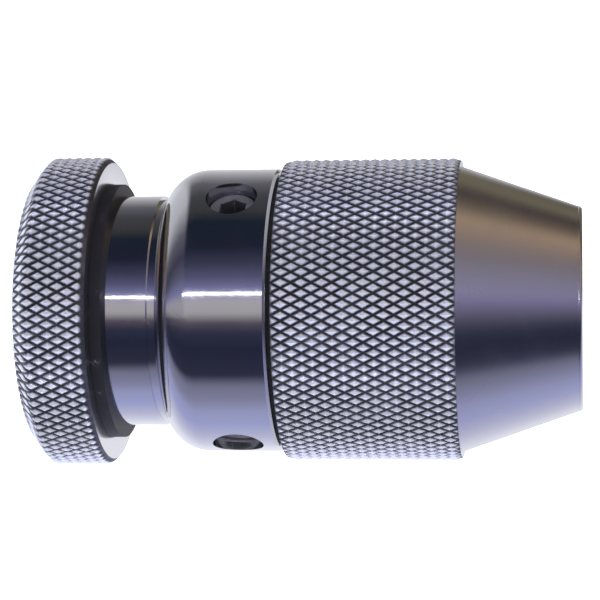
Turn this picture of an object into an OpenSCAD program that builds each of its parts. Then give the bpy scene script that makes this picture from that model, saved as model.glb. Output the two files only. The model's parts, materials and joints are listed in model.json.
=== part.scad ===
// Keyless drill chuck with three round jaws on slanted axes.
// The chuck lies along +X: x = 0 is the rear face, and the nose points to +X.
// Turning the sleeve screws the carrier forwards and closes the jaws. The jaws are drawn open.

/* [Capacity] */
// Largest shank that the open jaws take
capacity_max = 6.5; // [5:0.1:7]
// Smallest shank that the closed jaws hold
capacity_min = 0.5; // [0.3:0.1:1]
// Angle between a jaw and the chuck's axis, in degrees
jaw_angle = 20; // [18:0.5:22]
// Diameter of a round jaw
jaw_d = 5.6; // [4.6:0.1:6.4]
// Length of the gripping edge at a jaw's tip
grip_length = 5.3; // [4:0.1:6.5]
// Width of the flat land on the gripping edge
grip_land = 0.5; // [0.2:0.1:0.6]
// How far the open jaws' tips sit behind the nose
jaw_inset = 0.4; // [0.2:0.1:1]

/* [Spindle] */
// Diameter of the bore that takes the machine's spindle
bore_d = 12.7; // [9:0.1:14]
// Depth of the spindle bore
bore_depth = 28; // [24:0.1:28.2]
// Bevel at the mouth of the spindle bore
bore_bevel = 0.4; // [0.2:0.1:1.5]

/* [Hand ring] */
// Diameter over the knurl of the rear hand ring
ring_d = 37.2; // [33:0.1:46]
// Width of the hand ring
ring_w = 8.9; // [7:0.1:12]
// Diameter of the ring's rear face, inside its bevel
ring_rear_d = 32; // [31.2:0.1:32.8]
// Width of the ring's rear bevel
ring_rear_bevel = 1.9; // [0.5:0.1:2.5]
// Width and height of the ring's front bevel
ring_front_bevel = 0.7; // [0.2:0.1:1]
// Diameter of the body's rear flange, which sits in the ring
flange_d = 30.4; // [28.6:0.1:30.8]
// Thickness of the rear flange
flange_w = 1.6; // [1:0.1:2.5]
// Width of the square key between the body and the ring
key_w = 2; // [1.5:0.1:3]
// Length of the key
key_length = 5; // [3:0.1:5.5]

/* [Neck] */
// Diameter of the neck
neck_d = 27.7; // [24:0.1:28.2]
// Length of the neck in front of the clip
neck_length = 5; // [3:0.1:8]
// Thickness of the black clip in front of the ring
clip_w = 1.3; // [0.8:0.1:2]
// Outside diameter of the clip
clip_d = 30.6; // [29.4:0.1:32]
// Depth of the clip's groove
clip_groove = 0.9; // [0.5:0.1:1.2]
// Opening between the clip's ends
clip_gap = 3; // [2:0.5:6]
// Width of the groove behind the shoulder
neck_groove_w = 1; // [0.5:0.1:2]
// Depth of the groove behind the shoulder
neck_groove = 0.45; // [0.2:0.05:1]

/* [Band] */
// Diameter of the smooth band
band_d = 33.9; // [31:0.1:36]
// Width of the smooth band
band_w = 8.7; // [8.6:0.1:13]
// Width of the rounded shoulder behind the band
shoulder_w = 4.6; // [3.5:0.1:4.8]
// Radius of the rounded shoulder
shoulder_round = 5; // [5:0.1:5.2]
// Bevel at the band's front edge
band_bevel = 0.3; // [0.1:0.1:0.6]
// Diameter of a set screw
set_screw_d = 6; // [4:0.5:7]
// Length of a set screw
set_screw_length = 8; // [6:0.1:8.6]
// How far a backed-off set screw stays clear of the bore
set_screw_back = 1; // [0.8:0.1:1.4]
// Width across the flats of a set screw's socket
set_screw_socket = 3; // [2:0.5:3.5]
// Distance from the set screws' axes to the band's front edge
set_screw_place = 4.7; // [4.4:0.1:5]
// Angle of the first set screw, upwards from -Y, in degrees
set_screw_turn = 51; // [0:1:119]

/* [Sleeve] */
// Diameter over the knurl of the sleeve
sleeve_d = 36; // [35.4:0.1:44]
// Width of the sleeve
sleeve_w = 20.8; // [20.2:0.1:23]
// Gap between the smooth band and the sleeve
sleeve_gap = 0.7; // [0.4:0.1:1.2]
// Wall of the sleeve over the hood
sleeve_wall = 1.6; // [1.2:0.1:2]
// Length of the bevels at the sleeve's ends
sleeve_bevel = 0.9; // [0.3:0.1:1.5]
// Height of the bevels at the sleeve's ends
sleeve_bevel_h = 0.3; // [0.2:0.1:0.8]
// Wall of the hood under the sleeve
hood_wall = 1.4; // [1:0.1:1.6]

/* [Nose] */
// Length of the nose in front of the sleeve
nose_length = 14.2; // [13.6:0.1:17]
// Diameter of the nose at the sleeve
nose_rear_d = 34; // [33:0.1:35]
// Diameter of the nose at its front face
nose_front_d = 24; // [23:0.1:27]
// Rounding of the nose's front edge
nose_round = 0.5; // [0.2:0.1:1]
// Wall of the hollow part of the nose, across the axis
nose_wall = 1.5; // [1.2:0.1:2]
// Length of the jaw holes in the solid front of the nose
guide_length = 7.3; // [6:0.1:7.5]

/* [Drive] */
// Advance of the drive screw in one turn of the sleeve
screw_lead = 1.5; // [1:0.25:2]
// Diameter of the drive screw's thread
screw_d = 10; // [8:0.5:11]
// Wall between the spindle bore and the drive screw's bore
bore_wall = 1.2; // [1:0.1:2]
// Thickness of the carrier's floor behind the slots
carrier_floor = 1.7; // [1.5:0.1:2]
// Thickness of the carrier's lip in front of the slots
carrier_lip = 1.5; // [1.2:0.1:2]
// Bevel at the carrier's rear edge
carrier_edge = 0.4; // [0.2:0.1:0.5]
// Thickness of a jaw's head in its slot
jaw_head = 2.8; // [2:0.1:3]
// Width of a jaw's neck in the slot's mouth
jaw_neck = 3.2; // [2.4:0.1:3.8]
// Diameter of the drive screw's spigot in the carrier
spigot_d = 5.6; // [4.5:0.1:6]
// Thread diameter of the carrier's lock screw
lock_d = 3; // [2:0.5:3.5]
// Head diameter of the lock screw
lock_head_d = 5.5; // [4.5:0.1:5.8]
// Head height of the lock screw
lock_head = 1.7; // [1.2:0.1:2]
// Thread length of the lock screw
lock_length = 8; // [5:0.5:9]
// Depth of the lock screw's socket
lock_socket_depth = 1; // [0.6:0.1:1.1]
// Width across the flats of the lock screw's socket
lock_socket = 2; // [1.5:0.5:2.5]

/* [Bearing] */
// Diameter of the hub that carries the bearing
hub_d = 24.4; // [23:0.1:25]
// Width of the lock ring in the rear of the hood
lock_ring_w = 3.2; // [2.5:0.1:3.6]
// How far the lock ring sits inside the sleeve's rear edge
lock_ring_inset = 0.8; // [0.7:0.1:1.2]
// Thickness of a bearing washer
race_w = 1; // [0.8:0.1:1.2]
// Diameter of a bearing ball
ball_d = 2; // [1.6:0.1:2.2]
// Depth of a ball groove in a washer
race_groove = 0.2; // [0.1:0.05:0.3]
// Number of bearing balls
BALLS = 24; // [12:1:30]
// Thickness of the ball cage
cage_w = 1; // [0.6:0.1:1]
// Width of the thrust collar
collar_w = 2.4; // [2:0.1:2.6]
// Outside diameter of the thrust collar
collar_d = 26.8; // [26:0.1:27.6]
// Thickness of the snap ring that locks the collar
snap_w = 0.9; // [0.7:0.1:1]
// Depth of the snap ring's groove
snap_groove = 0.6; // [0.3:0.1:0.8]
// Height of the snap ring above the hub
snap_h = 0.7; // [0.5:0.1:0.9]
// Width of the dust seal
seal_w = 1.15; // [1:0.05:1.15]

/* [Clearances] */
// Radial clearance of the threads
thread_clearance = 0.08; // [0.05:0.01:0.1]
// Radial clearance of a jaw in its guide hole
jaw_clearance = 0.05; // [0.03:0.01:0.1]
// Clearance of a jaw's head and neck in the carrier's slot
slot_clearance = 0.08; // [0.05:0.01:0.1]
// Radial clearance of the sleeve's bush on the thrust collar
bush_clearance = 0.04; // [0.02:0.01:0.08]
// Clearance of a ball in its washers and in the cage
ball_clearance = 0.02; // [0.01:0.01:0.04]
// Clearance of the carrier in the nose's hollow
carrier_clearance = 0.4; // [0.3:0.05:0.5]
// Clearance over and around the lock screw's head
lock_clearance = 0.1; // [0.05:0.05:0.2]
// Clearance of the dust seal in the sleeve's rear end
seal_clearance = 0.5; // [0.3:0.1:0.8]
// Clearance between pieces that pass each other without touching
free_clearance = 0.3; // [0.3:0.05:0.4]
// Clearance of the shank in the nose, beyond the largest shank
shank_clearance = 0.4; // [0.3:0.1:0.6]

/* [Hidden] */
$fn = 96;
JAWS = 3;
SET_SCREWS = 3;
// How far a cut runs past the face that it opens
cut = 1;

// Places along the axis, from the rear face to the nose
clip_x = ring_w;
neck_x = clip_x + clip_w;
groove_x = neck_x + neck_length;
shoulder_x = groove_x + neck_groove_w;
band_x = shoulder_x + shoulder_w;
band_front_x = band_x + band_w;
sleeve_x = band_front_x + sleeve_gap;
sleeve_front_x = sleeve_x + sleeve_w;
nose_x = sleeve_front_x + nose_length;

// The bearing, from the lock ring forwards
lock_ring_x = sleeve_x + lock_ring_inset;
race_rear_x = lock_ring_x + lock_ring_w;
ball_x = race_rear_x + race_w + ball_d / 2 - race_groove;
race_front_x = ball_x + ball_d / 2 - race_groove;
collar_x = race_front_x + race_w;
snap_x = collar_x + collar_w;

// The jaws: a jaw's axis crosses the tip's plane at tip_r
jaw_reach = jaw_d / 2 / cos(jaw_angle);
tip_r = capacity_max / 2 + jaw_reach - grip_length * tan(jaw_angle);
tip_x = nose_x - jaw_inset;
jaw_travel = (capacity_max - capacity_min) / 2;
travel = jaw_travel / tan(jaw_angle);
edge_r = capacity_max / 2 - grip_land / 2 / tan(60);

// The drive, worked back from the nose's solid front at full travel
guide_x = nose_x - guide_length;
carrier_front_x = guide_x - free_clearance - travel;
slot_mouth_x = carrier_front_x - carrier_lip;
head_x = slot_mouth_x - slot_clearance - jaw_head;
slot_x = head_x - slot_clearance;
carrier_x = slot_x - carrier_floor;
hub_front_x = carrier_x - free_clearance;
screw_bore_x = bore_depth + bore_wall;
screw_rear_x = screw_bore_x + free_clearance;
spigot_front_x = slot_x + jaw_head / 2;
lock_seat_x = carrier_front_x - lock_head - lock_clearance;

// Radii that several pieces share
hood_r = sleeve_d / 2 - sleeve_wall;
cavity_r = hood_r - hood_wall;
hub_r = hub_d / 2;
race_r = cavity_r - free_clearance;
ball_ring_r = (hub_r + free_clearance + race_r) / 2;
seat_r = flange_d / 2;
nose_slope = (nose_rear_d - nose_front_d) / 2 / nose_length;
// The hollow cone starts where the hood's bore would leave too thin a wall
cone_x = nose_x - (cavity_r + nose_wall - nose_front_d / 2) / nose_slope;
// The carrier narrows with the hollow cone, which it comes up to at full travel
carrier_cone_x = max(cone_x - travel, carrier_x + 2 * carrier_edge);
carrier_r = hollow_r(carrier_cone_x + travel) - carrier_clearance;
// The slots' inner ends clear the closed jaws where these are nearest the axis
slot_start_r = tip_r + (tip_x - carrier_front_x) * tan(jaw_angle) - jaw_reach - jaw_travel - free_clearance;

STEEL = [0.72, 0.72, 0.76];
DARK_STEEL = [0.16, 0.16, 0.18];
BRONZE = [0.70, 0.50, 0.26];
RUBBER = [0.05, 0.05, 0.06];

// Radius of the nose's outside at a place x
function nose_r(x) = nose_front_d / 2 + (nose_x - x) * nose_slope;

// Radius of the nose's hollow at a place x, which meets the hood's bore at the rear
function hollow_r(x) = min(cavity_r, nose_r(x) - nose_wall);

// A solid of revolution about the X axis, from [place, radius] pairs
module turned(profile) {
    rotate([0, 90, 0])
        rotate_extrude()
            polygon([for (p = profile) [p[1], p[0]]]);
}

// A plain tube from x0 to x1
module tube(x0, x1, inner_r, outer_r) {
    turned([[x0, inner_r], [x1, inner_r], [x1, outer_r], [x0, outer_r]]);
}

// A round rod along +X
module rod(x0, x1, r) {
    translate([x0, 0, 0])
        rotate([0, 90, 0])
            cylinder(r = r, h = x1 - x0);
}

// Puts its children at each jaw's place: one at the top, the others 120 degrees apart
module at_jaw(i) {
    rotate([120 * i, 0, 0])
        children();
}

// A rod on a jaw's axis. It is laid out for the jaw at the top (+Z).
module jaw_rod(r, behind, ahead) {
    translate([tip_x, 0, tip_r])
        rotate([0, 90 + jaw_angle, 0])
            translate([0, 0, -behind])
                cylinder(r = r, h = behind + ahead);
}

// Turns its children so that +Z points along set screw number i
module at_set_screw(i) {
    rotate([90 - set_screw_turn - 360 / SET_SCREWS * i, 0, 0])
        translate([band_front_x - set_screw_place, 0, 0])
            children();
}

// The shoulder is a round of its own radius, which runs into the band
module body() {
    round_r = band_d / 2 - shoulder_round;
    shoulder_r = round_r + sqrt(pow(shoulder_round, 2) - pow(shoulder_w, 2));
    outline = concat(
        [[0, bore_d / 2 + bore_bevel], [0, seat_r], [flange_w, seat_r], [flange_w, neck_d / 2]],
        [[clip_x, neck_d / 2], [clip_x, neck_d / 2 - clip_groove]],
        [[neck_x, neck_d / 2 - clip_groove], [neck_x, neck_d / 2]],
        [[groove_x, neck_d / 2], [groove_x, neck_d / 2 - neck_groove]],
        [[shoulder_x, neck_d / 2 - neck_groove], [shoulder_x, shoulder_r], [band_x, band_d / 2]],
        [[band_front_x - band_bevel, band_d / 2], [band_front_x, band_d / 2 - band_bevel]],
        [[band_front_x, hub_r], [snap_x, hub_r], [snap_x, hub_r - snap_groove]],
        [[snap_x + snap_w, hub_r - snap_groove], [snap_x + snap_w, hub_r]],
        [[hub_front_x, hub_r], [hub_front_x, screw_d / 2], [screw_bore_x, screw_d / 2]],
        [[screw_bore_x, 0], [bore_depth, 0], [bore_depth, bore_d / 2], [bore_bevel, bore_d / 2]]
    );
    color(STEEL)
        difference() {
            rotate([0, 90, 0])
                rotate_extrude()
                    union() {
                        polygon([for (p = outline) [p[1], p[0]]]);
                        intersection() {
                            translate([round_r, band_x])
                                circle(r = shoulder_round);
                            translate([round_r, shoulder_x])
                                square([shoulder_round, shoulder_w]);
                        }
                    }
            for (i = [0 : SET_SCREWS - 1])
                at_set_screw(i)
                    cylinder(d = set_screw_d, h = band_d);
            hand_ring_key_shape();
        }
}

// The square key, half in the neck and half in the ring
module hand_ring_key_shape() {
    translate([(flange_w + clip_x - key_length) / 2, -key_w / 2, neck_d / 2 - key_w / 2])
        cube([key_length, key_w, key_w]);
}

module hand_ring() {
    front_r = ring_d / 2 - ring_front_bevel;
    color(STEEL)
        difference() {
            turned([
                [0, seat_r], [0, ring_rear_d / 2], [ring_rear_bevel, ring_d / 2],
                [ring_w - ring_front_bevel, ring_d / 2], [ring_w, front_r],
                [ring_w, neck_d / 2], [flange_w, neck_d / 2], [flange_w, seat_r]
            ]);
            hand_ring_key_shape();
        }
}

module hand_ring_key() {
    color(DARK_STEEL)
        hand_ring_key_shape();
}

// The clip's opening points to the bottom, away from the key
module hand_ring_clip() {
    color(DARK_STEEL)
        difference() {
            tube(clip_x, neck_x, neck_d / 2 - clip_groove, clip_d / 2);
            translate([clip_x - cut, 0, -clip_gap / 2])
                cube([clip_w + 2 * cut, clip_d, clip_gap]);
        }
}

module set_screw(i) {
    inner_r = bore_d / 2 + set_screw_back;
    point_bevel = 0.6;
    thread_r = set_screw_d / 2 - thread_clearance;
    socket_depth = set_screw_length / 2;
    color(DARK_STEEL)
        at_set_screw(i)
            translate([0, 0, inner_r])
                difference() {
                    rotate_extrude()
                        polygon([
                            [0, 0], [thread_r - point_bevel, 0], [thread_r, point_bevel],
                            [thread_r, set_screw_length], [0, set_screw_length]
                        ]);
                    translate([0, 0, set_screw_length - socket_depth])
                        cylinder(d = set_screw_socket / cos(30), h = socket_depth + cut, $fn = 6);
                }
}

module sleeve() {
    r = sleeve_d / 2;
    color(STEEL)
        turned([
            [sleeve_x, hood_r], [sleeve_x, r - sleeve_bevel_h], [sleeve_x + sleeve_bevel, r],
            [sleeve_front_x - sleeve_bevel, r], [sleeve_front_x, r - sleeve_bevel_h],
            [sleeve_front_x, hood_r]
        ]);
}

// The conical nose and the hood behind it, in one piece
module jaw_guide() {
    hood_x = lock_ring_x;
    arc = [for (a = [0 : 15 : 90]) [
        nose_x - nose_round * (1 - sin(a)),
        nose_r(nose_x - nose_round) - nose_round * (1 - cos(a))
    ]];
    shank_r = capacity_max / 2 + shank_clearance;
    mouth_bevel = 0.6;
    color(STEEL)
        difference() {
            turned(concat(
                [[hood_x, cavity_r], [hood_x, hood_r], [sleeve_front_x, hood_r]],
                [[sleeve_front_x, nose_rear_d / 2]],
                arc,
                [[nose_x, shank_r + mouth_bevel], [nose_x - mouth_bevel, shank_r]],
                [[guide_x, shank_r], [guide_x, hollow_r(guide_x)], [cone_x, cavity_r]]
            ));
            for (i = [0 : JAWS - 1])
                at_jaw(i)
                    jaw_rod(jaw_d / 2 + jaw_clearance, guide_length * 2, guide_length);
        }
}

// One jaw at the top: a slanted rod with a three-way wedge tip and a T-shaped rear end
module jaw_at_top() {
    side = jaw_d * 2;
    intersection() {
        difference() {
            jaw_rod(jaw_d / 2, (tip_x - head_x) * 2, jaw_d * 2);
            // The neck that runs in the slot's mouth
            for (s = [-1, 1])
                translate([slot_mouth_x - slot_clearance, s * (jaw_neck / 2 + side / 2), 0])
                    translate([0, -side / 2, 0])
                        cube([carrier_lip + 2 * slot_clearance, side, cavity_r]);
        }
        // The space that a jaw may fill: between its tip and head, and off its neighbours
        rotate([0, 90, 0])
            translate([0, 0, head_x])
                linear_extrude(tip_x - head_x)
                    polygon([
                        [-capacity_max / 2, -grip_land / 2],
                        [-capacity_max / 2, grip_land / 2],
                        [-edge_r - side / tan(60), side],
                        [-edge_r - side / tan(60) - cavity_r, side],
                        [-edge_r - side / tan(60) - cavity_r, -side],
                        [-edge_r - side / tan(60), -side]
                    ]);
        rod(head_x - cut, tip_x + cut, carrier_r);
    }
}

module jaw(i) {
    color(STEEL)
        at_jaw(i)
            jaw_at_top();
}

module jaw_carrier() {
    front_r = hollow_r(carrier_front_x + travel) - carrier_clearance;
    color(STEEL)
        difference() {
            turned([
                [carrier_x, 0], [carrier_x, carrier_r - carrier_edge],
                [carrier_x + carrier_edge, carrier_r], [carrier_cone_x, carrier_r],
                [carrier_front_x, front_r], [carrier_front_x, 0]
            ]);
            for (i = [0 : JAWS - 1])
                at_jaw(i) {
                    neck_w = jaw_neck + 2 * slot_clearance;
                    head_w = jaw_d + 2 * slot_clearance;
                    translate([slot_x, -head_w / 2, slot_start_r])
                        cube([slot_mouth_x - slot_x, head_w, cavity_r]);
                    translate([slot_x, -neck_w / 2, slot_start_r])
                        cube([carrier_front_x - slot_x + cut, neck_w, cavity_r]);
                }
            rod(carrier_x - cut, spigot_front_x, spigot_d / 2);
            rod(carrier_x - cut, lock_seat_x + cut, lock_d / 2);
            rod(lock_seat_x, carrier_front_x + cut, lock_head_d / 2 + lock_clearance);
        }
}

module drive_screw() {
    thread_r = screw_d / 2 - thread_clearance;
    end_bevel = 0.6;
    color(STEEL)
        difference() {
            turned([
                [screw_rear_x, 0], [screw_rear_x, thread_r - end_bevel],
                [screw_rear_x + end_bevel, thread_r],
                [carrier_x, thread_r], [carrier_x, spigot_d / 2],
                [spigot_front_x, spigot_d / 2], [spigot_front_x, 0]
            ]);
            rod(lock_seat_x - lock_length, spigot_front_x + cut, lock_d / 2);
        }
}

module carrier_screw() {
    color(DARK_STEEL)
        difference() {
            turned([
                [lock_seat_x - lock_length, 0], [lock_seat_x - lock_length, lock_d / 2],
                [lock_seat_x, lock_d / 2], [lock_seat_x, lock_head_d / 2],
                [lock_seat_x + lock_head, lock_head_d / 2], [lock_seat_x + lock_head, 0]
            ]);
            translate([lock_seat_x + lock_head - lock_socket_depth, 0, 0])
                rotate([0, 90, 0])
                    cylinder(d = lock_socket / cos(30), h = lock_socket_depth + cut, $fn = 6);
        }
}

module sleeve_lock_ring() {
    color(STEEL)
        tube(lock_ring_x, race_rear_x, hub_r + free_clearance, cavity_r);
}

// A bearing washer with a ball groove on the side that faces the balls
module race(x0, inner_r) {
    difference() {
        tube(x0, x0 + race_w, inner_r, race_r);
        translate([ball_x, 0, 0])
            rotate([0, 90, 0])
                rotate_extrude()
                    translate([ball_ring_r, 0])
                        circle(d = ball_d + 2 * ball_clearance);
    }
}

module bearing_race_rear() {
    color(STEEL)
        race(race_rear_x, hub_r + free_clearance);
}

module bearing_race_front() {
    color(STEEL)
        race(race_front_x, hub_r);
}

// Puts its children at each ball's place
module at_balls() {
    for (i = [0 : BALLS - 1])
        rotate([360 / BALLS * i, 0, 0])
            translate([ball_x, 0, ball_ring_r])
                children();
}

module ball_cage() {
    color(BRONZE)
        difference() {
            tube(ball_x - cage_w / 2, ball_x + cage_w / 2, hub_r + free_clearance, race_r);
            at_balls()
                rotate([0, 90, 0])
                    cylinder(d = ball_d + 2 * ball_clearance, h = ball_d, center = true);
        }
}

module bearing_balls() {
    color(STEEL)
        at_balls()
            rotate([0, 90, 0])
                sphere(d = ball_d, $fn = 32);
}

module thrust_collar() {
    color(STEEL)
        tube(collar_x, snap_x, hub_r, collar_d / 2);
}

module collar_clip() {
    color(DARK_STEEL)
        difference() {
            tube(snap_x, snap_x + snap_w, hub_r - snap_groove, hub_r + snap_h);
            translate([snap_x - cut, 0, -clip_gap / 2])
                cube([snap_w + 2 * cut, hub_d, clip_gap]);
        }
}

module sleeve_bush() {
    color(BRONZE)
        tube(collar_x + free_clearance, snap_x, collar_d / 2 + bush_clearance, cavity_r);
}

module dust_seal() {
    color(RUBBER)
        tube(band_front_x, band_front_x + seal_w, hub_r, hood_r - seal_clearance);
}

body();
hand_ring();
hand_ring_key();
hand_ring_clip();
set_screw(0);  // set_screw_1
set_screw(1);  // set_screw_2
set_screw(2);  // set_screw_3
sleeve();
jaw_guide();
jaw(0);  // jaw_1
jaw(1);  // jaw_2
jaw(2);  // jaw_3
jaw_carrier();
drive_screw();
carrier_screw();
sleeve_lock_ring();
bearing_race_rear();
bearing_race_front();
ball_cage();
bearing_balls();
thrust_collar();
collar_clip();
sleeve_bush();
dust_seal();
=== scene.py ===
import json
import math

import bpy
import numpy as np
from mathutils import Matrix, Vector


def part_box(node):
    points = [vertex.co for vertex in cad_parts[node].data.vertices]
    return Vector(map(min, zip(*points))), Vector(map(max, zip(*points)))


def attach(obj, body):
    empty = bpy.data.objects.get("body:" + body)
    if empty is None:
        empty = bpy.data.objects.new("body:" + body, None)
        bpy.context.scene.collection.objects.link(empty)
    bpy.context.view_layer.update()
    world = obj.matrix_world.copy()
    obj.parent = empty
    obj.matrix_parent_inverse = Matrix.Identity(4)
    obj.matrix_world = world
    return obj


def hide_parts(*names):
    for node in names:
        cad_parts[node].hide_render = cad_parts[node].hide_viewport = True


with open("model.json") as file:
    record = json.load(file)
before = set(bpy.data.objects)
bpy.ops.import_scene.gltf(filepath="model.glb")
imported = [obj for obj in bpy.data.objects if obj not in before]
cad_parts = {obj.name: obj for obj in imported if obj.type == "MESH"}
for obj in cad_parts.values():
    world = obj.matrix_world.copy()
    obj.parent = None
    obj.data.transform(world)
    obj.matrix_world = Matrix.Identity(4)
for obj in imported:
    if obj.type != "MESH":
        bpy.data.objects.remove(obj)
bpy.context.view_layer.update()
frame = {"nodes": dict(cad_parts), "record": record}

bl_info = {
    "name": "Drill chuck",
    "version": (1, 0, 0),
    "blender": (4, 5, 0),
    "location": "3D View > Sidebar > Chuck",
    "description": "Surfaces, finishes and stage of a keyless drill chuck",
    "category": "Object",
}

MM = 0.001
TURN = 2 * math.pi

# Steps of the knurl's grid from one groove to the next, and the least share of a step that is left
# between its last two rows.
KNURL_STEPS = 8
LEAST_STEP = 0.3
# Flat parts of the knurl, as shares of the way from a groove's middle to a crest's.
GROOVE_FLAT = 0.04
CREST_FLAT = 0.12
# How much lower the lowest crest is than the highest, as a share of the knurl's depth.
KNURL_UNEVENNESS = 0.06
# Points round a set screw, and rings of points along its thread.
SCREW_COLUMNS = 96
SCREW_ROWS = 97
# The thread's flanks: how steep they are, how wide the crests' flats are, and over how many
# pitches the thread fades out at each end.
THREAD_SLOPE = 1.25
THREAD_CREST = 0.12
THREAD_FADE = 0.4
# Edges sharper than this are kept sharp, in degrees.
KNURL_SHARP = 24.0
SCREW_SHARP = 32.0


def node_span(name):
    """A round node's rear end, front end and largest radius, from its box."""
    low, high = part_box(name)
    return low[0], high[0], (high[2] - low[2]) / 2


RING_REAR, RING_FRONT, RING_RADIUS = node_span("hand_ring")
SLEEVE_REAR, SLEEVE_FRONT, SLEEVE_RADIUS = node_span("sleeve")
NOSE_FRONT = node_span("jaw_guide")[1]


# ---------------------------------------------------------------- sizes and colours


def length(name, description, default_mm, low_mm=0.01, high_mm=100.0):
    """A length property that is shown in the scene's units."""
    return bpy.props.FloatProperty(
        name=name,
        description=description,
        default=default_mm * MM,
        min=low_mm * MM,
        max=high_mm * MM,
        unit="LENGTH",
        precision=5,
    )


def colour(name, description, default):
    """A colour property in linear values."""
    return bpy.props.FloatVectorProperty(
        name=name, description=description, default=default, size=3, min=0, max=1, subtype="COLOR"
    )


class ChuckSizes(bpy.types.PropertyGroup):
    """Sizes that the finished surfaces add to the solid model."""

    knurl_pitch: length("Knurl pitch", "Distance between two grooves, square to them", 1.105, 0.6, 2)
    knurl_depth: length("Knurl depth", "Height of a diamond above its grooves", 0.40, 0.1, 0.6)
    knurl_angle: bpy.props.FloatProperty(
        name="Knurl angle",
        description="Angle between a groove and the chuck's axis",
        default=math.radians(28.3),
        min=math.radians(15),
        max=math.radians(45),
        subtype="ANGLE",
    )
    ring_rear_radius: length("Ring rear radius", "Radius of the ring's rear face", 16.0)
    ring_rear_bevel: length("Ring rear bevel", "Width of the ring's rear bevel", 1.9)
    ring_front_bevel: length("Ring front bevel", "Width of the ring's front bevel", 0.7)
    ring_bore: length("Ring bore", "Radius of the ring's bore", 13.85)
    ring_mouth: length("Ring mouth", "Length of the bevel at the front of the ring's bore", 0.2)
    ring_mouth_height: length("Ring mouth height", "Height of that bevel", 0.6)
    ring_seat: length("Ring seat", "Radius of the seat in the ring's rear face", 15.2)
    ring_seat_depth: length("Ring seat depth", "Depth of the seat in the rear face", 1.6)
    sleeve_bore: length("Sleeve bore", "Radius of the sleeve's bore", 16.4)
    sleeve_bevel: length("Sleeve bevel", "Length of the bevels at the sleeve's ends", 0.9)
    sleeve_bevel_height: length("Sleeve bevel height", "Height of the sleeve's bevels", 0.3)
    thread_pitch: length("Set screw pitch", "Thread pitch of the set screws", 1.0)
    thread_depth: length("Set screw thread depth", "Height of the set screws' thread", 0.35)
    socket_flats: length("Socket", "Width across the flats of the set screws' sockets", 3.0)
    socket_mouth: length("Socket mouth", "Length of the bevel at a socket's mouth", 0.12)
    socket_mouth_height: length("Socket mouth height", "Height of that bevel", 0.08)
    socket_cone: length("Socket cone", "Length of the drilled cone under a socket", 0.5)
    socket_tip: length("Socket tip", "Radius of the blunt tip of that cone", 0.2)
    socket_tip_depth: length("Socket tip depth", "Depth of the blunt tip's middle", 0.1)
    screw_point: length("Set screw point", "Bevel at a set screw's inner end", 0.6)
    screw_bevel: length("Set screw bevel", "Bevel at a set screw's outer end", 0.35)


class ChuckColours(bpy.types.PropertyGroup):
    """Base colours of the finishes."""

    polished: colour("Polished steel", "Band, neck and shoulder", (0.80, 0.80, 0.83))
    knurled: colour("Knurled steel", "Hand ring and sleeve", (0.81, 0.84, 0.96))
    satin: colour("Satin steel", "Nose", (0.78, 0.77, 0.79))
    jaw: colour("Jaw steel", "Jaws", (0.60, 0.60, 0.63))
    black: colour("Black oxide", "Clips and lock screw", (0.014, 0.014, 0.019))
    screw: colour("Worn oxide", "Set screws", (0.20, 0.20, 0.22))
    inner: colour("Inner steel", "Pieces inside the chuck", (0.55, 0.55, 0.57))
    bronze: colour("Bronze", "Bush and ball cage", (0.62, 0.40, 0.18))
    rubber: colour("Rubber", "Dust seal", (0.018, 0.018, 0.020))
    floor: colour("Floor", "Floor under the chuck", (0.90, 0.90, 0.90))


def sizes():
    return bpy.context.scene.chuck_sizes


def colours():
    return bpy.context.scene.chuck_colours


# ---------------------------------------------------------------- shader expressions


class Wire:
    """One output socket of a node tree, so that maths on it is written as an expression."""

    def __init__(self, tree, socket):
        self.tree = tree
        self.socket = socket

    def maths(self, operation, *values):
        return add_node(self.tree, "ShaderNodeMath", {"operation": operation}, dict(enumerate(values)))

    def __add__(self, other):
        return self.maths("ADD", self, other)

    __radd__ = __add__

    def __mul__(self, other):
        return self.maths("MULTIPLY", self, other)

    __rmul__ = __mul__

    def __sub__(self, other):
        return self.maths("SUBTRACT", self, other)

    def __rsub__(self, other):
        return self.maths("SUBTRACT", other, self)

    def __truediv__(self, other):
        return self.maths("DIVIDE", self, other)

    def __pow__(self, other):
        return self.maths("POWER", self, other)

    def clamped(self, low=0.0, high=1.0):
        return self.maths("MINIMUM", self.maths("MAXIMUM", self, low), high)


def add_node(tree, kind, settings=None, values=None, output=0):
    """Adds a node: its settings are set first, then its sockets' values or links."""
    made = tree.nodes.new(kind)
    for name, value in (settings or {}).items():
        if name == "stops":
            set_stops(made.color_ramp, value)
        else:
            setattr(made, name, value)
    for key, value in (values or {}).items():
        if isinstance(value, Wire):
            tree.links.new(value.socket, made.inputs[key])
        else:
            made.inputs[key].default_value = value
    return Wire(tree, made.outputs[output])


def set_stops(ramp, stops):
    """Gives a colour ramp its stops, as (place, colour) pairs in order."""
    while len(ramp.elements) > 1:
        ramp.elements.remove(ramp.elements[-1])
    for index, (place, value) in enumerate(stops):
        stop = ramp.elements[0] if index == 0 else ramp.elements.new(place)
        stop.position = place
        stop.color = (*value, 1.0)


def step_between(value, low, high):
    """0 below low, 1 above high, and a smooth rise between them."""
    return add_node(
        value.tree,
        "ShaderNodeMapRange",
        {"interpolation_type": "SMOOTHSTEP"},
        {0: value, 1: low, 2: high, 3: 0.0, 4: 1.0},
    )


def mix_colours(tree, share, first, second):
    """A mix of two colours, each a colour or a wire."""
    return add_node(
        tree,
        "ShaderNodeMix",
        {"data_type": "RGBA"},
        {0: share, 6: as_colour(first), 7: as_colour(second)},
        output=2,
    )


def as_colour(value):
    return value if isinstance(value, Wire) else (*value, 1.0)


def shade(value, factor):
    """A colour made lighter or darker by a number."""
    return tuple(min(1.0, part * factor) for part in value)


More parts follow.
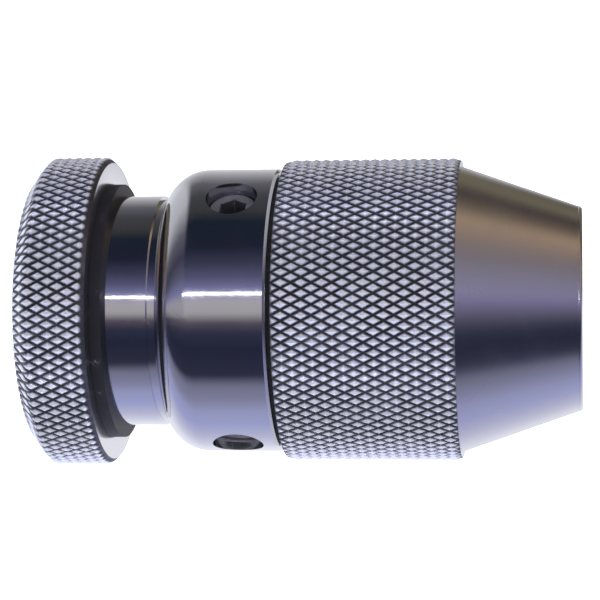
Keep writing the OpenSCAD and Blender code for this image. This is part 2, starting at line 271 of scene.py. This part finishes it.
def place_parts(tree):
    """The x, y and z of a point on the piece, in metres, each as a wire."""
    point = add_node(tree, "ShaderNodeTexCoord", output=3)
    split = tree.nodes.new("ShaderNodeSeparateXYZ")
    tree.links.new(point.socket, split.inputs[0])
    return [Wire(tree, out) for out in split.outputs]


def noise(tree, x, y, z, scale, detail=3.0, rough=0.55, distortion=0.0):
    """Noise between 0 and 1 at a place given by three wires or numbers."""
    place = add_node(tree, "ShaderNodeCombineXYZ", values={0: x, 1: y, 2: z})
    return add_node(
        tree,
        "ShaderNodeTexNoise",
        values={0: place, "Scale": scale, "Detail": detail, "Roughness": rough, "Distortion": distortion},
    )


def axis_place(tree):
    """The place along the chuck's axis, the distance from it, and the two parts of the direction
    away from it, which run round the axis with no seam."""
    x, y, z = place_parts(tree)
    radius = (y * y + z * z) ** 0.5
    return x, radius, y / (radius + 1e-6), z / (radius + 1e-6)


def turning_marks(tree, lines_per_mm, wander=0.7):
    """Fine lines round the axis, as a lathe leaves them: noise that changes fast along the axis and
    across it, and slowly round it."""
    x, radius, across, up = axis_place(tree)
    along = (x + radius * 0.83) * (lines_per_mm / MM)
    return noise(tree, along, across * wander, up * wander, 1.0, detail=2.0)


def smudges(tree, size_mm):
    """Soft patches, where the surface has been handled."""
    x, y, z = place_parts(tree)
    return noise(tree, x, y, z, 1.0 / (size_mm * MM), detail=4.0, rough=0.6, distortion=0.6)


def scratches(tree, spacing_mm, turn):
    """Thin stray scratches: the narrow tops of a noise that is drawn out along one direction."""
    x, radius, across, up = axis_place(tree)
    wide = 1.0 / (spacing_mm * MM)
    slant = across * turn + up * (1 - turn)
    streak = noise(tree, x * wide + slant * 9.0, across * 3.0, up * 3.0, 1.0, detail=5.0, distortion=1.2)
    return step_between(streak, 0.66, 0.72)


def finish(name, base, roughness, metallic=1.0, normal=None, **constants):
    """Makes a material on the Principled shader. Base, roughness and metallic may be wires, and the
    other inputs are plain numbers on the shader's own sockets."""
    tree = base_tree(name)
    out = tree.nodes.new("ShaderNodeOutputMaterial")
    shader = tree.nodes.new("ShaderNodeBsdfPrincipled")
    tree.links.new(shader.outputs[0], out.inputs[0])
    feeds = {"Base Color": base, "Roughness": roughness, "Metallic": metallic, "Normal": normal}
    for socket, value in {**feeds, **constants}.items():
        if value is None:
            continue
        if isinstance(value, Wire):
            tree.links.new(value.socket, shader.inputs[socket])
        else:
            shader.inputs[socket].default_value = as_colour(value) if isinstance(value, tuple) else value
    return bpy.data.materials[name]


def base_tree(name):
    """The node tree of the named material, which is made empty if it isn't there yet."""
    material = bpy.data.materials.get(name) or bpy.data.materials.new(name)
    if not material.get("chuck_started"):
        material.use_nodes = True
        material.node_tree.nodes.clear()
        material["chuck_started"] = True
    return material.node_tree


def bump(tree, height, depth_mm):
    """A Bump node for a height between 0 and 1."""
    return add_node(
        tree,
        "ShaderNodeBump",
        values={"Height": height, "Distance": depth_mm * MM, "Strength": 1.0},
    )


def polished_steel():
    """Turned and polished steel: faint lathe lines, soft smears and a few scratches."""
    tree = base_tree("chuck_polished_steel")
    lines = turning_marks(tree, 9.0)
    smear = smudges(tree, 7.0)
    scratch = scratches(tree, 2.6, 0.35)
    roughness = 0.06 + 0.05 * lines + 0.07 * step_between(smear, 0.42, 0.75) + 0.08 * scratch
    tint = mix_colours(tree, smear, shade(colours().polished, 0.95), shade(colours().polished, 1.03))
    height = lines * 0.7 - scratch * 0.6
    return finish("chuck_polished_steel", tint, roughness, normal=bump(tree, height, 0.0022))


def satin_steel():
    """Fine-turned steel: clear lathe lines, which spread the highlights."""
    if "chuck_satin_steel" in bpy.data.materials:
        return bpy.data.materials["chuck_satin_steel"]
    tree = base_tree("chuck_satin_steel")
    lines = turning_marks(tree, 6.0, 0.4)
    fine = turning_marks(tree, 17.0, 0.9)
    smear = smudges(tree, 9.0)
    scratch = scratches(tree, 3.4, 0.7)
    roughness = 0.17 + 0.09 * fine + 0.10 * step_between(smear, 0.45, 0.8) + 0.06 * scratch
    tint = mix_colours(tree, smear, shade(colours().satin, 0.94), shade(colours().satin, 1.04))
    height = lines * 0.6 + fine * 0.5 - scratch * 0.5
    return finish("chuck_satin_steel", tint, roughness, normal=bump(tree, height, 0.003))


def knurled_steel():
    """Rolled knurling: crests at the full colour, where the metal is worn, and grooves painted darker as
    painted shade in the hollows, with patches of old oil and dust in them as well. The attribute
    knurl_height runs from 0 in the grooves to 1 on the crests."""
    if "chuck_knurled_steel" in bpy.data.materials:
        return bpy.data.materials["chuck_knurled_steel"]
    tree = base_tree("chuck_knurled_steel")
    height = add_node(tree, "ShaderNodeAttribute", {"attribute_name": "knurl_height"}, output=2)
    x, y, z = place_parts(tree)
    grain = noise(tree, x, y, z, 2600.0, detail=4.0)
    patch = noise(tree, x, y, z, 900.0, detail=2.0)
    smear = smudges(tree, 6.0)
    crest = step_between(height + 0.22 * (patch - 0.5), 0.12, 0.56)
    dirt = (1 - crest) * step_between(smear, 0.20, 0.60)
    # The grooves are painted a third as bright as the crests: painted shade in the hollows. The crests
    # keep the full colour, and wear also leaves them bright.
    crest_wear_and_groove_shade = mix_colours(tree, crest, shade(colours().knurled, 0.34), colours().knurled)
    tint = mix_colours(tree, dirt * 0.6, crest_wear_and_groove_shade, (0.045, 0.043, 0.050))
    roughness = 0.38 - 0.20 * crest + 0.08 * grain + 0.15 * dirt
    metallic = 0.95 - 0.36 * crest
    normal = bump(tree, grain, 0.004)
    return finish("chuck_knurled_steel", tint, roughness.clamped(0.05, 0.9), metallic, normal)


def ground_steel():
    """Hardened and ground steel: fine straight lines along the jaws, a little heat colour."""
    tree = base_tree("chuck_ground_steel")
    x, y, z = place_parts(tree)
    lines = noise(tree, x * 900.0, y * 9000.0, z * 9000.0, 1.0, detail=3.0)
    smear = smudges(tree, 3.0)
    tint = mix_colours(tree, smear, shade(colours().jaw, 0.85), shade(colours().jaw, 1.08))
    warm = mix_colours(tree, 0.25 * step_between(smear, 0.5, 0.8), tint, (0.55, 0.46, 0.36))
    roughness = 0.22 + 0.14 * lines + 0.08 * smear
    return finish("chuck_ground_steel", warm, roughness, normal=bump(tree, lines, 0.002))


def black_oxide(name, value, bare=0.0):
    """Black oxide on steel: a thin dark skin with lighter patches and bright rubbed specks. bare is
    how far the skin is worn down to the metal all over."""
    if name in bpy.data.materials:
        return bpy.data.materials[name]
    tree = base_tree(name)
    x, y, z = place_parts(tree)
    grain = noise(tree, x, y, z, 5200.0, detail=5.0)
    patch = smudges(tree, 2.2)
    rubbed = step_between(grain * 0.5 + patch * 0.5, 0.60, 0.70)
    skin = mix_colours(tree, patch, shade(value, 0.7), shade(value, 1.3))
    tint = mix_colours(tree, rubbed * 0.6, skin, (0.34, 0.34, 0.37))
    roughness = 0.42 + 0.16 * grain - 0.10 * rubbed
    metallic = bare + (0.8 - bare) * rubbed
    normal = bump(tree, grain, 0.004)
    dull = {"Specular IOR Level": 0.3}
    return finish(name, tint, roughness - 0.15 * bare, metallic, normal, **dull)


def worn_oxide():
    """Oxide on the set screws, which the key has worn down to grey metal."""
    return black_oxide("chuck_worn_oxide", colours().screw, 0.7)


def machined_steel():
    """Oiled machined steel on the pieces inside: coarse lathe lines and a film of oil."""
    tree = base_tree("chuck_machined_steel")
    lines = turning_marks(tree, 4.0)
    film = smudges(tree, 4.0)
    tint = mix_colours(tree, film, shade(colours().inner, 0.78), shade(colours().inner, 1.06))
    roughness = 0.20 + 0.12 * lines + 0.12 * film
    return finish("chuck_machined_steel", tint, roughness, normal=bump(tree, lines, 0.004))


def bearing_bronze():
    """Bearing bronze: turned, with browner patches of tarnish."""
    tree = base_tree("chuck_bronze")
    lines = turning_marks(tree, 5.0)
    patch = smudges(tree, 3.0)
    tarnish = step_between(patch, 0.45, 0.75)
    tint = mix_colours(tree, tarnish, colours().bronze, shade(colours().bronze, 0.6))
    roughness = 0.24 + 0.10 * lines + 0.14 * tarnish
    return finish("chuck_bronze", tint, roughness, normal=bump(tree, lines, 0.004))


def seal_rubber():
    """Matt black rubber with a fine skin and a little dust."""
    tree = base_tree("chuck_rubber")
    x, y, z = place_parts(tree)
    skin = noise(tree, x, y, z, 4200.0, detail=4.0)
    dust = step_between(smudges(tree, 2.5), 0.50, 0.78)
    tint = mix_colours(tree, dust * 0.4, colours().rubber, (0.09, 0.09, 0.088))
    roughness = 0.62 + 0.18 * skin + 0.10 * dust
    return finish("chuck_rubber", tint, roughness, 0.0, bump(tree, skin, 0.012))


# ---------------------------------------------------------------- surfaces


def ring_points(x, radius, turn):
    """Points round the X axis. x and radius hold one value for each row and column, or one for each
    row, and turn is the angle of each column, from +Z towards +Y. y is radius times the sine of
    the angle, and z is radius times its cosine."""
    x, radius, turn = np.broadcast_arrays(x, radius, turn)
    return np.stack([x, radius * np.sin(turn), radius * np.cos(turn)], axis=-1)


def grid_faces(rows, columns, wrap_rows=True, wrap_columns=True):
    """Quads of a grid of points. A wrapped side joins its last line of points to its first."""
    row = np.arange(rows if wrap_rows else rows - 1)
    column = np.arange(columns if wrap_columns else columns - 1)
    a, b = np.meshgrid(row, column, indexing="ij")
    down, right = (a + 1) % rows, (b + 1) % columns
    corners = [a * columns + b, a * columns + right, down * columns + right, down * columns + b]
    return np.stack(corners, axis=-1).reshape(-1, 4)


def split_quads(faces, other_way):
    """Two triangles for each quad, cut along its second diagonal where other_way is true."""
    a, b, c, d = faces.T
    one = np.stack([a, b, c], 1), np.stack([a, c, d], 1)
    two = np.stack([a, b, d], 1), np.stack([b, c, d], 1)
    choice = other_way[:, None]
    return np.concatenate([np.where(choice, two[k], one[k]) for k in (0, 1)])


def make_piece(name, points, faces, materials, body, sharp, choice=None):
    """Makes a mesh object from points and faces, with edges of more than sharp degrees kept sharp,
    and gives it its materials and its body. choice is each face's material."""
    mesh = bpy.data.meshes.new(name)
    mesh.from_pydata(points.reshape(-1, 3).tolist(), [], faces.tolist())
    mesh.shade_smooth()
    mesh.set_sharp_from_angle(angle=math.radians(sharp))
    for material in materials:
        mesh.materials.append(material)
    if choice is not None:
        mesh.polygons.foreach_set("material_index", choice.astype(np.int32))
    piece = bpy.data.objects.new(name, mesh)
    bpy.context.scene.collection.objects.link(piece)
    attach(piece, body)
    return piece


def knurl_height(along, turn, teeth):
    """Height of a diamond knurl, from 0 in the grooves to 1 on the crests. Two sets of straight
    grooves cross, each at the knurl's angle to the axis. The height is the distance to the nearest
    groove, with the crests a little flattened and the groove floors a little rounded."""
    round_share = teeth * turn / TURN
    along_share = along * math.sin(sizes().knurl_angle) / sizes().knurl_pitch
    first = 1 - 2 * np.abs((round_share - along_share) % 1.0 - 0.5)
    second = 1 - 2 * np.abs((round_share + along_share) % 1.0 - 0.5)
    near = np.minimum(first, second)
    return np.clip((near - GROOVE_FLAT) / (1 - GROOVE_FLAT - CREST_FLAT), 0, 1)


def knurled_grid(start, end, radius):
    """The rows and columns of a knurled stretch. Their steps divide the spacing of the grooves, so
    that groove floors and crests run through the points. The last row is at the end."""
    s = sizes()
    teeth = round(TURN * radius * math.cos(s.knurl_angle) / s.knurl_pitch)
    step = s.knurl_pitch / math.sin(s.knurl_angle) / KNURL_STEPS
    along = np.arange(start, end - LEAST_STEP * step, step)
    columns = teeth * KNURL_STEPS
    turn = np.arange(columns) * TURN / columns
    return np.append(along, end), turn, teeth


def knurled_tube(name, node, start, end, radius, crest_line, outline, inside, materials, body, seed):
    """A closed tube of revolution with a knurled outside. crest_line gives the crests' radius at a
    place along the axis, and outline cuts them short at the bevels. inside is the rest of the
    section, as (x, radius) pairs from the front end round to the rear end, and takes the second
    material. The finish reads the knurl's height from the attribute knurl_height."""
    along, turn, teeth = knurled_grid(start, end, radius)
    depth = sizes().knurl_depth
    height = knurl_height(along[:, None] - start, turn[None, :], teeth)
    half = KNURL_STEPS // 2
    row = np.arange(len(along))[:, None] // half
    column = np.arange(len(turn))[None, :] // KNURL_STEPS
    uneven = np.random.default_rng(seed).uniform(0, 1, (len(along), teeth))[row, column]
    relief = depth * height * (1 - KNURL_UNEVENNESS * uneven)
    crests = crest_line(along)[:, None] - depth + relief
    outer = np.minimum(outline(along)[:, None], crests)
    inside = np.array(inside)
    x = np.concatenate([along, inside[:, 0]])[:, None]
    reach = np.concatenate([outer, np.repeat(inside[:, 1:], len(turn), axis=1)])
    points = ring_points(x, reach, turn[None, :])
    faces = grid_faces(*points.shape[:2])
    cell_row, cell_column = np.divmod(np.arange(len(faces)), len(turn))
    faces = split_quads(faces, (cell_row // half + cell_column // half) % 2 == 1)[:, ::-1]
    plain = np.tile(cell_row >= len(along) - 1, 2)
    piece = make_piece(name, points, faces, materials, body, KNURL_SHARP, plain)
    shown = (outer - crest_line(along)[:, None]) / depth + 1
    values = np.concatenate([np.clip(shown, 0, 1).ravel(), np.ones(len(inside) * len(turn))])
    store = piece.data.attributes.new("knurl_height", "FLOAT", "POINT")
    store.data.foreach_set("value", values.astype(np.float32))
    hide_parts(node)
    return piece


def hand_ring():
    """The rear ring: a wide bevel at the back, which the knurl runs over, a narrow bevel that cuts
    the knurl at the front, and a flat front face."""
    s = sizes()

    def crest_line(x):
        slope = (RING_RADIUS - s.ring_rear_radius) / s.ring_rear_bevel
        return np.minimum(s.ring_rear_radius + (x - RING_REAR) * slope, RING_RADIUS)

    def outline(x):
        return np.minimum(RING_RADIUS, RING_RADIUS + (RING_FRONT - x) - s.ring_front_bevel)

    seat_x = RING_REAR + s.ring_seat_depth
    inside = [
        (RING_FRONT, s.ring_bore + s.ring_mouth_height),
        (RING_FRONT - s.ring_mouth, s.ring_bore),
        (seat_x, s.ring_bore),
        (seat_x, s.ring_seat),
        (RING_REAR, s.ring_seat),
    ]
    materials = [knurled_steel(), satin_steel()]
    return knurled_tube(
        "hand_ring_knurled", "hand_ring", RING_REAR, RING_FRONT, RING_RADIUS, crest_line, outline,
        inside, materials, "body", 11,
    )


def sleeve():
    """The knurled sleeve, with bevels that cut the knurl short at both ends."""
    s = sizes()
    slope = s.sleeve_bevel_height / s.sleeve_bevel

    def crest_line(x):
        return np.full_like(x, SLEEVE_RADIUS)

    def outline(x):
        nearest_end = np.minimum(x - SLEEVE_REAR, SLEEVE_FRONT - x)
        return np.minimum(SLEEVE_RADIUS, SLEEVE_RADIUS - s.sleeve_bevel_height + nearest_end * slope)

    inside = [(SLEEVE_FRONT, s.sleeve_bore), (SLEEVE_REAR, s.sleeve_bore)]
    materials = [knurled_steel(), satin_steel()]
    return knurled_tube(
        "sleeve_knurled", "sleeve", SLEEVE_REAR, SLEEVE_FRONT, SLEEVE_RADIUS, crest_line, outline,
        inside, materials, "sleeve", 12,
    )


def screw_thread(height, turn, outer):
    """A thread's radius at each height and angle. It falls by the thread's depth and comes back
    once in each turn and pitch, so that the crests make a helix, and fades out at both ends."""
    s = sizes()
    wave = 2 * np.abs((height / s.thread_pitch - turn / TURN) % 1.0 - 0.5)
    from_end = np.minimum(height - height[0], height[-1] - height)
    fade = np.clip(from_end / (THREAD_FADE * s.thread_pitch), 0, 1)
    return outer - s.thread_depth * np.clip(THREAD_SLOPE * wave - THREAD_CREST, 0, 1) * fade


def screw_rings(turn, bottom, top, outer):
    """The heights and radii of a set screw's rings of points: its inner end, the thread, the bevel
    and the flat top, then down into the socket. A hexagon's radius is half its width across the
    flats over the cosine of the angle from the middle of the nearest flat."""
    s = sizes()
    height = np.linspace(bottom + s.screw_point, top - s.screw_bevel, SCREW_ROWS)[:, None]
    thread = screw_thread(height, turn[None, :], outer)
    hexagon = s.socket_flats / 2 / np.cos((turn + TURN / 12) % (TURN / 6) - TURN / 12)
    floor = (bottom + top) / 2
    rings = [
        (bottom, outer - s.screw_point),
        *zip(height[:, 0], thread),
        (top, outer - s.screw_bevel),
        (top, hexagon.max() + s.socket_mouth_height),
        (top - s.socket_mouth, hexagon),
        (floor, hexagon),
        (floor - s.socket_cone, s.socket_tip),
    ]
    radii = [np.broadcast_to(radius, turn.shape) for _, radius in rings]
    return np.array([place for place, _ in rings]), np.array(radii)


def end_fans(rows, columns):
    """Triangles that close the first and the last ring of a grid. They meet in the two points that
    come after the grid's own."""
    column = np.arange(columns)
    after = (column + 1) % columns
    last = (rows - 1) * columns
    centre = np.full_like(column, rows * columns)
    first_fan = np.stack([after, column, centre], 1)
    last_fan = np.stack([last + column, last + after, centre + 1], 1)
    return np.concatenate([first_fan, last_fan])


def set_screw(number):
    """A threaded set screw with a hexagonal socket. It lies along its joint's axis, with its socket
    away from the spindle. Its reach along that axis is the solid model's."""
    node = f"set_screw_{number}"
    joint = next(j for j in frame["record"]["behaviour"]["joints"] if j["name"] == node + "_feed")
    outward = -np.array(joint["axis"])
    low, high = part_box(node)
    middle = np.array([(low[0] + high[0]) / 2, 0, 0])
    corners = np.array([v.co[:] for v in frame["nodes"][node].data.vertices])
    reach = corners @ outward
    turn = np.arange(SCREW_COLUMNS) * TURN / SCREW_COLUMNS
    heights, radii = screw_rings(turn, reach.min(), reach.max(), (high[0] - low[0]) / 2)
    along = np.array([1.0, 0, 0])
    across = np.cross(outward, along)
    around = np.cos(turn)[:, None] * along + np.sin(turn)[:, None] * across
    points = middle + heights[:, None, None] * outward + radii[..., None] * around
    ends = middle + np.array([[heights[0]], [heights[-1] - sizes().socket_tip_depth]]) * outward
    walls = grid_faces(len(heights), SCREW_COLUMNS, wrap_rows=False)
    walls = split_quads(walls, np.zeros(len(walls), bool))
    faces = np.concatenate([walls, end_fans(len(heights), SCREW_COLUMNS)])
    points = np.concatenate([points.reshape(-1, 3), ends])
    piece = make_piece(
        node + "_threaded", points, faces, [worn_oxide()], node, SCREW_SHARP
    )
    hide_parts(node)
    return piece


# ---------------------------------------------------------------- operators


class CHUCK_OT_hand_ring(bpy.types.Operator):
    """Make the knurled hand ring"""

    bl_idname = "chuck.hand_ring"
    bl_label = "Hand ring"

    def execute(self, context):
        hand_ring()
        return {"FINISHED"}


class CHUCK_OT_sleeve(bpy.types.Operator):
    """Make the knurled sleeve"""

    bl_idname = "chuck.sleeve"
    bl_label = "Sleeve"

    def execute(self, context):
        sleeve()
        return {"FINISHED"}


class CHUCK_OT_set_screws(bpy.types.Operator):
    """Make the threaded set screws"""

    bl_idname = "chuck.set_screws"
    bl_label = "Set screws"

    def execute(self, context):
        for number in (1, 2, 3):
            set_screw(number)
        return {"FINISHED"}


class CHUCK_OT_finishes(bpy.types.Operator):
    """Give the pieces of the solid model their finishes"""

    bl_idname = "chuck.finishes"
    bl_label = "Finishes"

    def execute(self, context):
        inner = machined_steel()
        by_slot = {
            "polished_steel": polished_steel(),
            "nose_steel": satin_steel(),
            "jaw_steel": ground_steel(),
            "black_steel": black_oxide("chuck_black_oxide", colours().black),
            "inner_steel": inner,
            "bronze": bearing_bronze(),
            "seal_rubber": seal_rubber(),
            "knurled_steel": inner,
        }
        for part in frame["record"]["subparts"]:
            holder = frame["nodes"][part["node"]]
            holder.material_slots[0].material = by_slot[part["material_slot"]]
        return {"FINISHED"}


class CHUCK_OT_stage(bpy.types.Operator):
    """Make the floor, the backdrop, the lights and the camera"""

    bl_idname = "chuck.stage"
    bl_label = "Stage"

    def execute(self, context):
        surroundings()
        floor_and_backdrop()
        lights()
        camera()
        return {"FINISHED"}


class CHUCK_PT_pieces(bpy.types.Panel):
    """Sizes, colours and pieces of the drill chuck"""

    bl_idname = "CHUCK_PT_pieces"
    bl_label = "Drill chuck"
    bl_space_type = "VIEW_3D"
    bl_region_type = "UI"
    bl_category = "Chuck"

    def draw(self, context):
        for group in (context.scene.chuck_sizes, context.scene.chuck_colours):
            box = self.layout.box()
            for name in group.__annotations__:
                box.prop(group, name)
        for operator in OPERATORS:
            self.layout.operator(operator.bl_idname)


# ---------------------------------------------------------------- stage

# Where the middles of the lights are along the chuck's axis, in metres.
LIGHT_MIDDLE = 0.03
# Over which parts of a direction along the axis the studio's front and its tail come in.
FRONT_FADE = (0.02, 0.16)
TAIL_FADE = (0.32, 0.46)
# Colours of the studio by the angle round the chuck's axis, in degrees: 0 is the camera's side,
# 90 is overhead, 180 is behind and -90 is below.
STUDIO_BELOW = [
    (-180, (0.92, 0.93, 1.00)),
    (-153, (0.88, 0.90, 1.00)),
    (-124, (0.56, 0.57, 0.76)),
    (-105, (0.39, 0.42, 0.70)),
    (-90, (0.36, 0.38, 0.61)),
    (-77, (0.25, 0.26, 0.39)),
    (-64, (0.20, 0.20, 0.30)),
    (-54, (0.030, 0.033, 0.060)),
    (-31, (0.020, 0.023, 0.047)),
    (-18, (0.032, 0.036, 0.066)),
]
# The side towards the chuck's own middle and tail.
STUDIO_SIDE = STUDIO_BELOW + [
    (-10, (0.10, 0.080, 0.11)),
    (-2, (0.42, 0.41, 0.41)),
    (7, (0.44, 0.42, 0.46)),
    (16, (0.20, 0.20, 0.38)),
    (26, (0.10, 0.10, 0.19)),
    (38, (0.045, 0.047, 0.085)),
    (52, (0.0145, 0.018, 0.035)),
    (76, (0.012, 0.018, 0.030)),
    (88, (0.047, 0.047, 0.050)),
    (106, (0.060, 0.062, 0.068)),
    (126, (0.13, 0.13, 0.145)),
    (152, (0.50, 0.50, 0.52)),
    (180, (0.92, 0.93, 1.00)),
]
# Behind the chuck's tail, where a pale ceiling comes down.
STUDIO_TAIL = STUDIO_BELOW + [
    (-10, (0.10, 0.080, 0.11)),
    (-2, (0.34, 0.33, 0.34)),
    (7, (0.36, 0.35, 0.40)),
    (16, (0.20, 0.20, 0.38)),
    (30, (0.10, 0.10, 0.16)),
    (46, (0.05, 0.05, 0.08)),
    (70, (0.12, 0.12, 0.15)),
    (104, (0.50, 0.50, 0.54)),
    (140, (0.60, 0.60, 0.64)),
    (180, (0.92, 0.93, 1.00)),
]
# The side that the nose points to, where warm walls stand.
STUDIO_FRONT = STUDIO_BELOW + [
    (-8, (0.10, 0.10, 0.14)),
    (2, (0.17, 0.15, 0.28)),
    (12, (0.26, 0.24, 0.40)),
    (34, (0.24, 0.23, 0.30)),
    (48, (0.21, 0.185, 0.21)),
    (64, (0.26, 0.205, 0.175)),
    (84, (0.42, 0.30, 0.20)),
    (95, (0.16, 0.13, 0.097)),
    (113, (0.050, 0.036, 0.042)),
    (130, (0.18, 0.16, 0.11)),
    (158, (0.10, 0.09, 0.064)),
    (170, (0.42, 0.42, 0.44)),
    (180, (0.92, 0.93, 1.00)),
]


def surroundings():
    """The studio, as a world that gives each direction its colour by its angle round the axis, and
    by whether it leans to the front or to the tail."""
    world = bpy.data.worlds.new("chuck_studio")
    bpy.context.scene.world = world
    world.use_nodes = True
    tree = world.node_tree
    tree.nodes.clear()
    direction = add_node(tree, "ShaderNodeTexCoord", output=0)
    split = tree.nodes.new("ShaderNodeSeparateXYZ")
    tree.links.new(direction.socket, split.inputs[0])
    along, across, up = [Wire(tree, out) for out in split.outputs]
    share = up.maths("ARCTAN2", up, across * -1.0) / TURN + 0.5
    side, front, tail = [
        add_node(
            tree, "ShaderNodeValToRGB",
            {"stops": [(angle / 360 + 0.5, value) for angle, value in studio]}, {0: share},
        )
        for studio in (STUDIO_SIDE, STUDIO_FRONT, STUDIO_TAIL)
    ]
    both = mix_colours(tree, step_between(along, *FRONT_FADE), side, front)
    every = mix_colours(tree, step_between(along * -1.0, *TAIL_FADE), both, tail)
    out = tree.nodes.new("ShaderNodeOutputWorld")
    background = add_node(tree, "ShaderNodeBackground", values={0: every, 1: 1.0})
    tree.links.new(background.socket, out.inputs[0])


def plain_material(name, value, glow):
    """A matt material for the stage, with a faint unevenness. It glows, so that it stays pale."""
    tree = base_tree(name)
    uneven = smudges(tree, 60.0)
    tint = mix_colours(tree, uneven, shade(value, 0.985), value)
    light = {"Emission Color": (1.0, 1.0, 1.0), "Emission Strength": glow}
    return finish(name, tint, 0.9, 0.0, **light)


def stage_object(name, points, faces, material):
    """A mesh that belongs to the stage. It is left out of mirror images, so that the studio's own
    colours show in the steel."""
    mesh = bpy.data.meshes.new(name)
    mesh.from_pydata(points, [], faces)
    mesh.materials.append(material)
    thing = bpy.data.objects.new(name, mesh)
    bpy.context.scene.collection.objects.link(thing)
    thing.visible_glossy = False
    return thing


def floor_and_backdrop():
    """A plain pale floor below the chuck, and a pale wall all round it, far off."""
    low = -0.060
    reach = 3.0
    corners = [(-reach, -reach, low), (reach, -reach, low), (reach, reach, low), (-reach, reach, low)]
    stage_object("floor", corners, [(0, 1, 2, 3)], plain_material("chuck_floor", colours().floor, 1.7))
    wall_radius = 2.9
    wall_top = 2.5
    sides = 48
    turn = np.arange(sides) * TURN / sides
    levels = np.array([low, wall_top])[:, None]
    across, deep = wall_radius * np.cos(turn), wall_radius * np.sin(turn)
    rings = np.stack(np.broadcast_arrays(across, deep, levels), axis=-1)
    faces = grid_faces(2, sides, wrap_rows=False)
    pale = plain_material("chuck_backdrop", colours().floor, 1.0)
    wall = stage_object("backdrop", rings.reshape(-1, 3).tolist(), faces.tolist(), pale)
    wall.visible_diffuse = False
    wall.visible_shadow = False


def long_light(name, angle, distance, width, size, energy, tint):
    """A soft light that lies along the chuck, over its middle. angle is its place round the axis in
    degrees, counted as the studio's colours are."""
    light = bpy.data.lights.new(name, "AREA")
    light.shape = "RECTANGLE"
    light.size = size
    light.size_y = width
    light.energy = energy
    light.color = tint
    lamp = bpy.data.objects.new(name, light)
    bpy.context.scene.collection.objects.link(lamp)
    turn = math.radians(angle)
    lamp.location = (LIGHT_MIDDLE, -distance * math.cos(turn), distance * math.sin(turn))
    lamp.rotation_euler = (math.radians(90) - turn, 0, 0)
    return lamp


def lights():
    """A thin strip in front, which draws one bright line along the polished steel, and a wide soft
    light from above, kept out of mirror images, which brightens the knurl's upper faces."""
    long_light(
        "front_strip", angle=13.0, distance=0.60, width=0.008, size=0.60, energy=0.16,
        tint=(0.93, 0.92, 1.0),
    )
    above = long_light(
        "soft_above", angle=68.0, distance=0.30, width=0.20, size=0.30, energy=0.70,
        tint=(0.93, 0.94, 1.0),
    )
    above.visible_glossy = False
    above.visible_camera = False


def camera():
    """A long lens at axis height, level with the nose's front face and turned towards the middle."""
    distance = 0.271
    lens = bpy.data.cameras.new("camera")
    lens.lens = 136.3
    lens.sensor_width = 36.0
    lens.clip_start = 0.01
    lens.clip_end = 20.0
    eye = bpy.data.objects.new("camera", lens)
    bpy.context.scene.collection.objects.link(eye)
    eye.location = (NOSE_FRONT, -distance, 0.0)
    eye.rotation_euler = (math.radians(90.25), math.radians(0.25), math.radians(7.1))
    bpy.context.scene.camera = eye
    bpy.context.scene.view_settings.view_transform = "Standard"


# ---------------------------------------------------------------- registration

OPERATORS = (
    CHUCK_OT_finishes, CHUCK_OT_hand_ring, CHUCK_OT_sleeve, CHUCK_OT_set_screws, CHUCK_OT_stage,
)
CLASSES = (ChuckSizes, ChuckColours, *OPERATORS, CHUCK_PT_pieces)


def register():
    for item in CLASSES:
        bpy.utils.register_class(item)
    bpy.types.Scene.chuck_sizes = bpy.props.PointerProperty(type=ChuckSizes)
    bpy.types.Scene.chuck_colours = bpy.props.PointerProperty(type=ChuckColours)


def unregister():
    del bpy.types.Scene.chuck_colours
    del bpy.types.Scene.chuck_sizes
    for item in reversed(CLASSES):
        bpy.utils.unregister_class(item)


def main():
    register()
    bpy.ops.chuck.finishes()
    bpy.ops.chuck.hand_ring()
    bpy.ops.chuck.sleeve()
    bpy.ops.chuck.set_screws()
    bpy.ops.chuck.stage()


if __name__ == "__main__":
    main()
